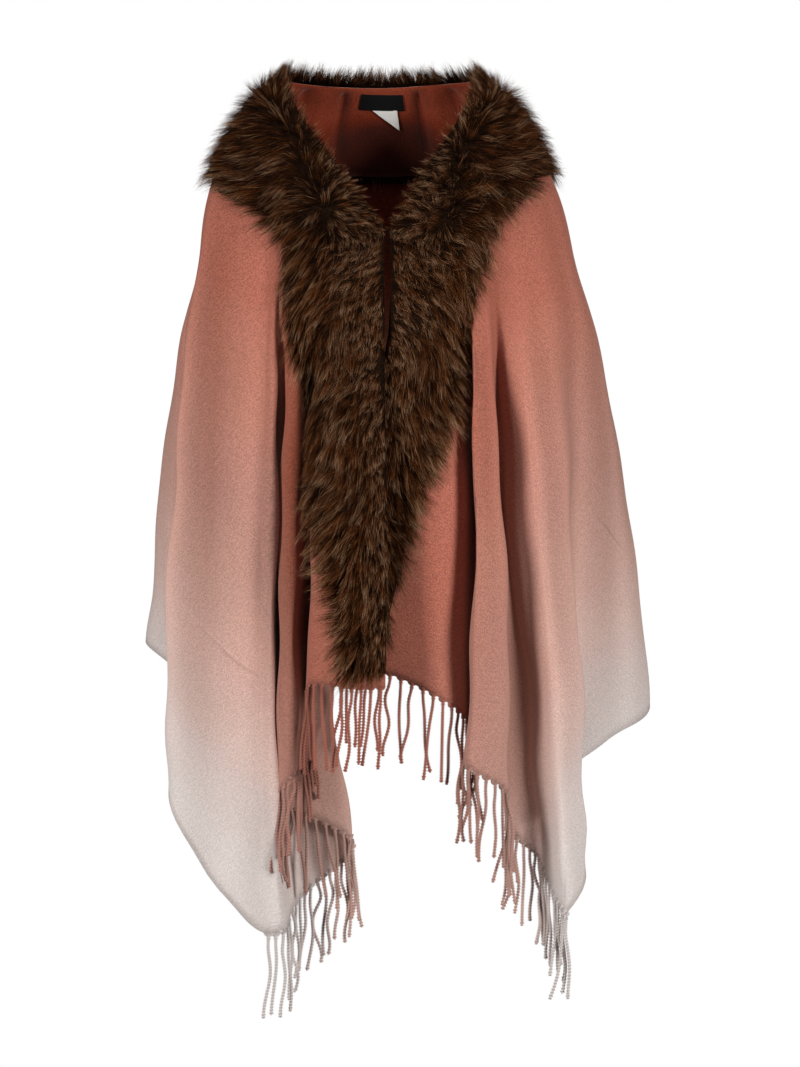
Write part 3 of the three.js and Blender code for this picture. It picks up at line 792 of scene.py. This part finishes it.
def furCoat(hairs, steps, shortest, longest, width, locks, random):
    lockRoot, near, lockStart, lockEnd, lockSize, lockTone = locks
    root, _ = rootsOnTrim(hairs, random)
    count = len(root["s"])
    lock = np.array([near.find((s, t, 0))[1] for s, t in zip(root["s"].ravel(), root["t"].ravel())])
    start, end, size = combed(root, random, count)
    start, end = unit(mix(lockStart[lock], start, 0.35)), unit(mix(lockEnd[lock], end, 0.3))
    lockLength = mix(shortest, longest, 0.3 + 0.7 * lockTone[:, None])
    length = mix(lockLength[lock], random.uniform(shortest, longest, (count, 1)), 0.5) * size
    path = hairPaths(root, start, end, length, steps)
    lockPath = hairPaths(lockRoot, lockStart, lockEnd, lockLength * lockSize, steps)[lock]
    share = np.linspace(0, 1, steps + 1)[None, :, None]
    path = mix(path, lockPath, random.uniform(*fur["gather"], (count, 1, 1)) * 0.8 * share ** 1.5)
    # Each hair is a flat ribbon, turned at random about its length.
    along = unit(np.gradient(path, axis=1))
    aside = unit(np.cross(along, root["out"][:, None]))
    roll = random.uniform(-1.0, 1.0, (count, 1, 1))
    aside = aside * np.cos(roll) + np.cross(along, aside) * np.sin(roll)
    half = width / 2 * random.uniform(0.7, 1.3, (count, 1, 1)) * (1 - 0.45 * share[:, :-1] ** 1.5)
    left, right = path[:, :-1] - aside[:, :-1] * half, path[:, :-1] + aside[:, :-1] * half
    points = np.concatenate([left, right, path[:, -1:]], 1)
    # Pale tips are commonest at both edges of the trim, dark hair on the shoulders and behind,
    # and whole locks share a tone.
    edge = np.minimum(root["t"], root["width"] - root["t"]).ravel()
    strip = ease(300, 520, np.abs(root["s"])).ravel()
    rim = ease(24, 4, edge) * ease(120, 230, np.abs(root["s"])).ravel()
    paleShare = mix(0.09, 0.19, strip) + 0.15 * rim
    darkShare = mix(0.72, 0.42, strip) - 0.1 * rim
    draw = np.where(random.random(count) < 0.55, lockTone[lock], random.random(count))
    dark, chestnut, pale = (fur["tones"][tone] for tone in ("dark", "chestnut", "pale"))
    tint, spread = (np.where(draw > 1 - paleShare, pale[i], np.where(draw > darkShare, chestnut[i], dark[i]))
                    for i in (0, 1))
    return points, tint + spread * random.random(count), root["across"]


def trimReach():  # how far down each column of the cloth the trim reaches
    rows = underTrim(cloth.s, cloth.t, cloth.parts).sum(1) - 1
    columns = np.arange(len(rows))
    after = np.minimum(rows + 1, cloth.t.shape[1] - 1)
    here, there = ((trimWidth(cloth.s) - cloth.t)[columns, row] for row in (rows, after))
    share = np.clip(here / np.maximum(here - there, 1e-6), 0, 1)
    return np.minimum(mix(cloth.parts[columns, rows], cloth.parts[columns, after], share), trim["stop"])


def furGround(material):
    share = np.linspace(0, 1, fur["groundRows"])
    parts = trimReach()[:, None] * share
    lower, upper = (np.empty(parts.shape + (3,)) for _ in range(2))
    thick = fur["ground"] * mix(1, 0.5, ease(300, 460, np.abs(cloth.s[:, :1])))
    rise = thick * np.sin(np.pi * mix(0.14, 0.93, share)) ** 0.7
    turned = ease(0.08, 0, share) * ease(120, 170, np.abs(cloth.s[:, :1]))  # it wraps the edge in front
    for i, part in enumerate(parts):
        point, out, down = (
            np.stack([np.interp(part, cloth.parts[i], values[i, :, axis]) for axis in range(3)], -1)
            for values in (cloth.points, cloth.out, cloth.alongT))
        point = point - down * fur["groundWrap"] * turned[i][:, None]
        lower[i] = point + out * (0.7 - 2.3 * turned[i])[:, None]
        upper[i] = point + out * (1.2 + rise[i])[:, None]
    flat = np.stack(flatPlace(cloth.across[:, None], parts), -1)
    return shellPiece("fur_ground", upper, lower, flat, material)


def furPieces(names, material):
    random = np.random.default_rng(fur["seed"])
    locks = furLocks(random)
    coats = [(row[1], *furCoat(*row, locks, random)) for row in fur["coats"]]
    order = np.sort(np.concatenate([coat[3] for coat in coats]))
    cuts = [order[len(order) * k // len(names)] for k in range(1, len(names))]
    tintWidth = 1 / fur["tints"]
    pieces = []
    for k, name in enumerate(names):
        allPoints, allCorners, allSizes, allPlaces, before = [], [], [], [], 0
        for steps, points, tint, across in coats:
            part = np.searchsorted(cuts, across, side="right") == k
            count, each = part.sum(), 2 * steps + 1
            walls = [corner for i in range(steps - 1) for corner in (i, steps + i, steps + i + 1, i + 1)]
            one = np.array(walls + [steps - 1, 2 * steps - 1, 2 * steps])
            corners = (one + np.arange(count)[:, None] * each).ravel()
            left = np.floor(tint[part] * fur["tints"])[:, None] * tintWidth
            u = left + tintWidth * np.array([0.2] * steps + [0.8] * steps + [0.5])
            rise = np.linspace(0.01, 0.99, steps + 1)
            v = np.tile([*rise[:-1], *rise[:-1], 0.99], (count, 1))
            allPoints.append(points[part].reshape(-1, 3))
            allCorners.append(corners + before)
            allSizes.append(np.tile([4] * (steps - 1) + [3], count))
            allPlaces.append(np.stack([u, v], -1).reshape(-1, 2)[corners])
            before += count * each
        pieces.append(makeMesh(name, *(np.concatenate(rows) for rows in (allPoints, allCorners, allSizes)),
                               {"OFBake": np.concatenate(allPlaces)}, material))
    return pieces


furParts = [furGround(makeMaterial("underfurPaintedShade", "flat", furGroundLook)),
            *furPieces(["fur_right_front", "fur_right_shoulder", "fur_left_shoulder", "fur_left_front"],
                       makeMaterial("longPileFur", "OFBake", furLook))]
print("fur made:", [triangles(piece) for piece in furParts], "triangles")

# Warp ends gathered, twisted in two plies and cut, all along both short edges.
fringe = {
    "spacing": 12.7,
    "length": (94, 110),
    "sides": 6, "rings": 124,
    "lobe": 2.7, "groove": 1.35,  # half the width of the two plies and of the waist between them
    "pitch": 7.4,
    "fan": 11, "fanWidth": 2.3,  # the loose top, where the yarns draw together
    "swing": 7, "wave": 2.2,
    "turnDown": 0.75,  # how far tassels turn from the cloth's fall to plumb
    "rooted": 2.5,  # how far up they start inside the edge
    "seed": 23,
}


def fringeLook(tree, flat):
    yarn = addNode(tree, "ShaderNodeUVMap", uv_map="yarn")
    grooveShadeMask = addNode(tree, "ShaderNodeSeparateXYZ", {0: yarn})
    fibre = addNode(tree, "ShaderNodeTexNoise", {"Vector": yarn, "Scale": 900.0, "Detail": 2.0})
    # Painted shade: the grooves between the plies come out darker than the plies.
    fibreAndGrooveShade = addNode(tree, "ShaderNodeMath", {0: fibre, 1: 0.7, 2: grooveShadeMask}, operation="MULTIPLY_ADD")
    value = addNode(tree, "ShaderNodeMapRange", {0: fibreAndGrooveShade, 1: 0.3, 2: 1.3, 3: 0.6, 4: 1.3})
    colour = addNode(tree, "ShaderNodeHueSaturation", {"Value": value, "Color": dyeColour(tree, flat)})
    bump = addNode(tree, "ShaderNodeBump", {"Strength": 0.4, "Distance": 0.0004, "Height": fibre})
    return {"Base Color": colour, "Roughness": 0.9, "Specular IOR Level": 0.2, "Sheen Weight": 0.15,
            "Normal": bump}


def tasselEdge(side):  # where the tassels leave one short edge, and the cloth's directions there
    count = int(shawl["width"] / fringe["spacing"])
    alongEdge = (np.arange(count) + 0.5) * shawl["width"] / count
    half = (cloth.across < foldAt["back"]) == (side < 0)
    edge, columns = edgeAt(cloth.across[half]), np.flatnonzero(half)
    if side > 0:
        edge, columns = edge[::-1], columns[::-1]
    found = {}
    for name in ("points", "down", "sideways", "s", "t"):
        values = getattr(cloth, name)[columns, -1].reshape(len(columns), -1)
        found[name] = np.stack([np.interp(alongEdge, edge, value) for value in values.T], -1)
    return found


def tasselPaths(edge, random):
    length = random.uniform(*fringe["length"], (len(edge["s"]), 1))
    share = np.linspace(0, 1, fringe["rings"])[None, :]
    down = unit(edge["down"])[:, None]
    hang = unit(mix(down, np.array([0, 0, -1.0]), fringe["turnDown"] * share[..., None]))
    path = edge["points"][:, None] - down * fringe["rooted"] + hang * (length * share)[..., None]
    swing = random.normal(0, 1, (len(length), 1, 3)) * [1, 0.35, 0.1]
    wave = random.normal(0, 1, (len(length), 1, 3)) * [1, 0.5, 0.1]
    turns, phase = random.uniform(0.8, 1.7, length.shape), random.uniform(0, 2 * np.pi, length.shape)
    bend = np.sin(2 * np.pi * turns * share + phase) * ease(0, 0.3, share)
    path += swing * fringe["swing"] * (share ** 1.6)[..., None]
    path += wave * (fringe["wave"] * bend)[..., None]
    return path, length, length * share


def twistedPlies(edge, path, length, run, angle, radius):  # the rings round each tassel
    along = unit(np.gradient(path, axis=1))
    aside = np.broadcast_to(unit(edge["sideways"])[:, None], along.shape)
    aside = unit(aside - along * (aside * along).sum(-1, keepdims=True))
    across = np.cross(along, aside)
    twist = 2 * np.pi * run / fringe["pitch"] * ease(1, fringe["fan"] * 1.5, run)
    turned = angle[None, None] + twist[..., None]
    left = length - run
    knot = mix(1, 1.2, ease(7, 2, left)) * mix(1, 0.75, ease(2, 0, left))
    wide = mix(fringe["fanWidth"], 1, ease(0, fringe["fan"], run))
    x = radius * np.cos(turned) * (knot * wide)[..., None]
    y = radius * np.sin(turned) * knot[..., None]
    tube = path[:, :, None] + aside[:, :, None] * x[..., None] + across[:, :, None] * y[..., None]
    top, tip = path[:, :1], path[:, -1:] + along[:, -1:] * 0.8
    return np.concatenate([tube.reshape(len(path), -1, 3), top, tip], 1)


def tasselFaces(rings, sides):  # walls of four corners, then the fans that close both ends
    ring, k = gridIndex(rings - 1, sides)
    nextK = (k + 1) % sides
    walls = np.stack([ring * sides + k, ring * sides + nextK, (ring + 1) * sides + nextK,
                      (ring + 1) * sides + k], -1)[:, ::-1]
    k = np.arange(sides)
    first, last = sides * rings, sides * (rings - 1)
    tops = np.stack([np.full(sides, first), k, (k + 1) % sides], -1)[:, ::-1]
    tips = np.stack([np.full(sides, first + 1), last + (k + 1) % sides, last + k], -1)[:, ::-1]
    sizes = np.concatenate([np.full(len(walls), 4), np.full(2 * sides, 3)])
    return np.concatenate([walls.ravel(), tops.ravel(), tips.ravel()]), sizes


def tasselMap(one, rings, sides):  # an upright strip, with the tassel's sides next to each other
    k = np.tile(np.arange(sides), rings - 1)
    around = np.concatenate([np.stack([k, k + 1, k + 1, k], -1)[:, ::-1].ravel(),
                             np.tile([0.5, 0, 1], 2 * sides)])
    height = np.minimum(one // sides, rings - 1) / (rings - 1)
    height[-6 * sides:-3 * sides], height[-3 * sides:] = 0, 1
    return np.stack([0.1 + 0.8 * around / sides, 0.005 + 0.99 * height], -1)


def fringePiece(name, side, material):
    rings, sides = fringe["rings"], fringe["sides"]
    edge = tasselEdge(side)
    path, length, run = tasselPaths(edge, np.random.default_rng(fringe["seed"] + side))
    angle = 2 * np.pi * np.arange(sides) / sides
    lobes = np.abs(np.cos(angle)) > 0.9
    points = twistedPlies(edge, path, length, run, angle, np.where(lobes, fringe["lobe"], fringe["groove"]))
    one, sizes = tasselFaces(rings, sides)
    count, each = points.shape[:2]
    corners = (one[None, :] + np.arange(count)[:, None] * each).ravel()
    flat = np.repeat(np.concatenate([edge["s"], edge["t"]], 1), each, 0)
    # Between the plies the yarn is painted darker, as shade.
    yarn = np.zeros((count, each, 2))  # whether on a ply or between them, and how far down
    yarn[:, :-2, 0] = np.tile(lobes, rings)
    yarn[:, :-2, 1] = np.repeat(run, sides, 1)
    yarn[:, -1, 1] = length[:, 0]
    baked = np.tile(tasselMap(one, rings, sides), (count, 1))
    baked[:, 0] = (baked[:, 0] + np.repeat(np.arange(count), len(one))) / count
    maps = {"flat": flat[corners] * mm, "yarn": yarn.reshape(-1, 2)[corners] * [1, mm], "OFBake": baked}
    return makeMesh(name, points.reshape(-1, 3), corners, np.tile(sizes, count), maps, material)


fringeFinish = makeMaterial("twistedWoolYarn", "flat", fringeLook)
fringeParts = [fringePiece("fringe_right", -1, fringeFinish), fringePiece("fringe_left", 1, fringeFinish)]
print("fringe made:", [triangles(piece) for piece in fringeParts], "triangles")

# The neck label is black woven tape, its text left off. The care tag is white satin tape folded
# corner to corner, and hangs from under the label.
label = {"width": 52, "height": 21, "top": 8, "thick": 0.7, "off": 1.3, "lift": 1.6, "tilt": 0.03,
         "columns": 40, "rows": 16}
tag = {"corners": ((-13, 27), (17, 29), (18, 54)), "off": 2.6, "thick": 0.35, "lift": 3.5, "cells": 16,
       "inset": 0.14}


def insideBack(s, t, off):  # a point off the inside of the cloth at the back of the neck
    fine = np.linspace(foldAt["crestR"], foldAt["crestL"], 801)
    end, down = freeEdge(fine)
    points = []
    for placeS, placeT, placeOff in zip(s.ravel(), t.ravel(), np.broadcast_to(off, s.shape).ravel()):
        share = placeT / shawl["width"]
        across = np.interp(placeS, mix(neckLength(angleAt(fine)), end, share), fine)
        near = smoothCloth(np.array([across, across + 2]), np.array([[share, share + 0.01]] * 2))
        out = unit(np.cross(near[1, 0] - near[0, 0], near[0, 1] - near[0, 0]))
        height = relief(np.array(placeS), np.array(placeT)) - shawl["thick"] / 2 - placeOff
        points.append(near[0, 0] + out * height)
    return np.array(points).reshape(s.shape + (3,))


def tapeLook(tree, flat, colour, pale, ribs, roughness):
    rib = addNode(tree, "ShaderNodeTexWave", {
        "Vector": flat, "Scale": ribs, "Distortion": 0.6, "Detail": 1.0}, bands_direction="Y")
    speck = addNode(tree, "ShaderNodeTexNoise", {"Vector": flat, "Scale": 700.0, "Detail": 2.0})
    weave = addNode(tree, "ShaderNodeMath", {0: rib.outputs[1], 1: 0.6, 2: speck}, operation="MULTIPLY_ADD")
    tone = addNode(tree, "ShaderNodeValToRGB", {0: weave}, stops=[(0.3, colour), (1.0, pale)])
    bump = addNode(tree, "ShaderNodeBump", {"Strength": 0.3, "Distance": 0.0003, "Height": weave})
    return {"Base Color": tone, "Roughness": roughness, "Specular IOR Level": 0.12, "Normal": bump}


def tapePiece(name, s, t, off, thick, lift, material):
    front = insideBack(s, t, off + thick + lift)
    back = insideBack(s, t, off + lift)
    flat = np.stack([s, t], -1)
    return shellPiece(name, front[:, ::-1], back[:, ::-1], flat[:, ::-1], material)


def labelPiece():
    columns, rows = label["columns"], label["rows"]
    x, y = np.meshgrid(np.linspace(-0.5, 0.5, columns), np.linspace(0, 1, rows), indexing="ij")
    s, t = x * label["width"], label["top"] + y * label["height"]
    s, t = s - label["tilt"] * (t - label["top"]), t + label["tilt"] * s
    lift = label["lift"] * y * (0.6 + 0.4 * np.cos(6 * x))
    return tapePiece("neck_label_tape", s, t, label["off"], label["thick"], lift,
                     makeMaterial("blackWovenTape", "flat", tapeLook, "#020202", "#0A090A", 900.0, 0.9))


def tagPiece():
    a, b, c = (np.array(corner, float) for corner in tag["corners"])
    x, y = np.meshgrid(np.linspace(0, 1, tag["cells"]), np.linspace(0, 1, tag["cells"]), indexing="ij")
    place = mix(a + (b - a) * x[..., None], c, (0.97 * y)[..., None])
    lift = tag["lift"] * y ** 2 + 0.8 * np.sin(3 * x) * y
    return tapePiece("care_tag_tape", place[..., 0], place[..., 1], tag["off"], tag["thick"], lift,
                     makeMaterial("whiteSatinTape", "flat", tapeLook, "#A9A6A1", "#CFCCC7", 1400.0, 0.45))


labelTape, tagTape = labelPiece(), tagPiece()
print("label and tag made")

# A pale floor under a white backdrop, softboxes in front, above and behind, and a long lens.
view = {"place": (0.015, -3.7, -0.479), "lens": 96.6, "floor": -1.42, "aim": (0, 0, -0.45), "fill": 0.035}
lights = [
    # name, place, size, watts
    ("softboxLeft", (-2.85, -2.65, 0.4), 1.1, 126),
    ("softboxRight", (2.6, -2.9, 0.3), 1.1, 132),
    ("softboxTop", (0.0, -1.6, 2.6), 1.2, 12),
    ("softboxBehind", (0.9, 3.3, 0.7), 1.4, 22),
]


def floorLook(tree, _):
    grain = addNode(tree, "ShaderNodeTexNoise", {"Scale": 3.0, "Detail": 4.0})
    tone = addNode(tree, "ShaderNodeMapRange", {0: grain, 3: 0.80, 4: 0.84})
    return {"Base Color": tone, "Roughness": 0.9}


def studio():
    bpy.ops.mesh.primitive_circle_add(vertices=128, radius=1.1, fill_type="NGON",
                                      location=(0, 0, view["floor"]))
    floor = bpy.context.object
    floor.name = "studio_floor"
    floor.data.materials.append(makeMaterial("palePaintedFloor", "UVMap", floorLook))
    for name, place, size, watts in lights:
        data = bpy.data.lights.new(name, "AREA")
        data.shape, data.size, data.energy = "DISK", size, watts
        lamp = newObject(name, data)
        lamp.location = place
        aim = np.subtract(view["aim"], place)
        tilt, heading = math.atan2(math.hypot(*aim[:2]), -aim[2]), math.atan2(aim[1], aim[0])
        lamp.rotation_euler = (tilt, 0, heading - math.pi / 2)
    world = bpy.data.worlds.new("studioWorld")
    bpy.context.scene.world = world
    world.use_nodes = True
    tree = world.node_tree
    tree.nodes.clear()
    path = addNode(tree, "ShaderNodeLightPath")
    fill = addNode(tree, "ShaderNodeBackground", {0: (1, 1, 1, 1), 1: view["fill"]})
    seen = addNode(tree, "ShaderNodeBackground", {0: (1, 1, 1, 1), 1: 1.0})
    both = addNode(tree, "ShaderNodeMixShader", {0: path.outputs["Is Camera Ray"], 1: fill, 2: seen})
    addNode(tree, "ShaderNodeOutputWorld", {0: both})
    camera = bpy.data.cameras.new("studioCamera")
    camera.lens, camera.sensor_width, camera.sensor_fit = view["lens"], 36, "AUTO"
    holder = newObject("studioCamera", camera)
    holder.location, holder.rotation_euler = view["place"], (math.pi / 2, 0, 0)
    bpy.context.scene.camera = holder
    bpy.context.scene.view_settings.view_transform = "Standard"


studio()
print("studio set")

stands = [
    # piece, material slot, how the names of the CAD nodes that it stands for start and end
    (shawlPiece, "cloth", "cloth_", ""),
    (furParts[0], "fur", "fur_", ""),
    (fringeParts[0], "fringe", "fringe_", "_right"),
    (fringeParts[1], "fringe", "fringe_", "_left"),
    (labelTape, "label", "neck_label", ""),
    (tagTape, "tag", "care_tag", ""),
]
for piece, slotName, start, finish in stands:
    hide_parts(*[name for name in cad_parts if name.startswith(start) and name.endswith(finish)])
for piece in (shawlPiece, *furParts, *fringeParts, labelTape, tagTape):
    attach(piece, "root")
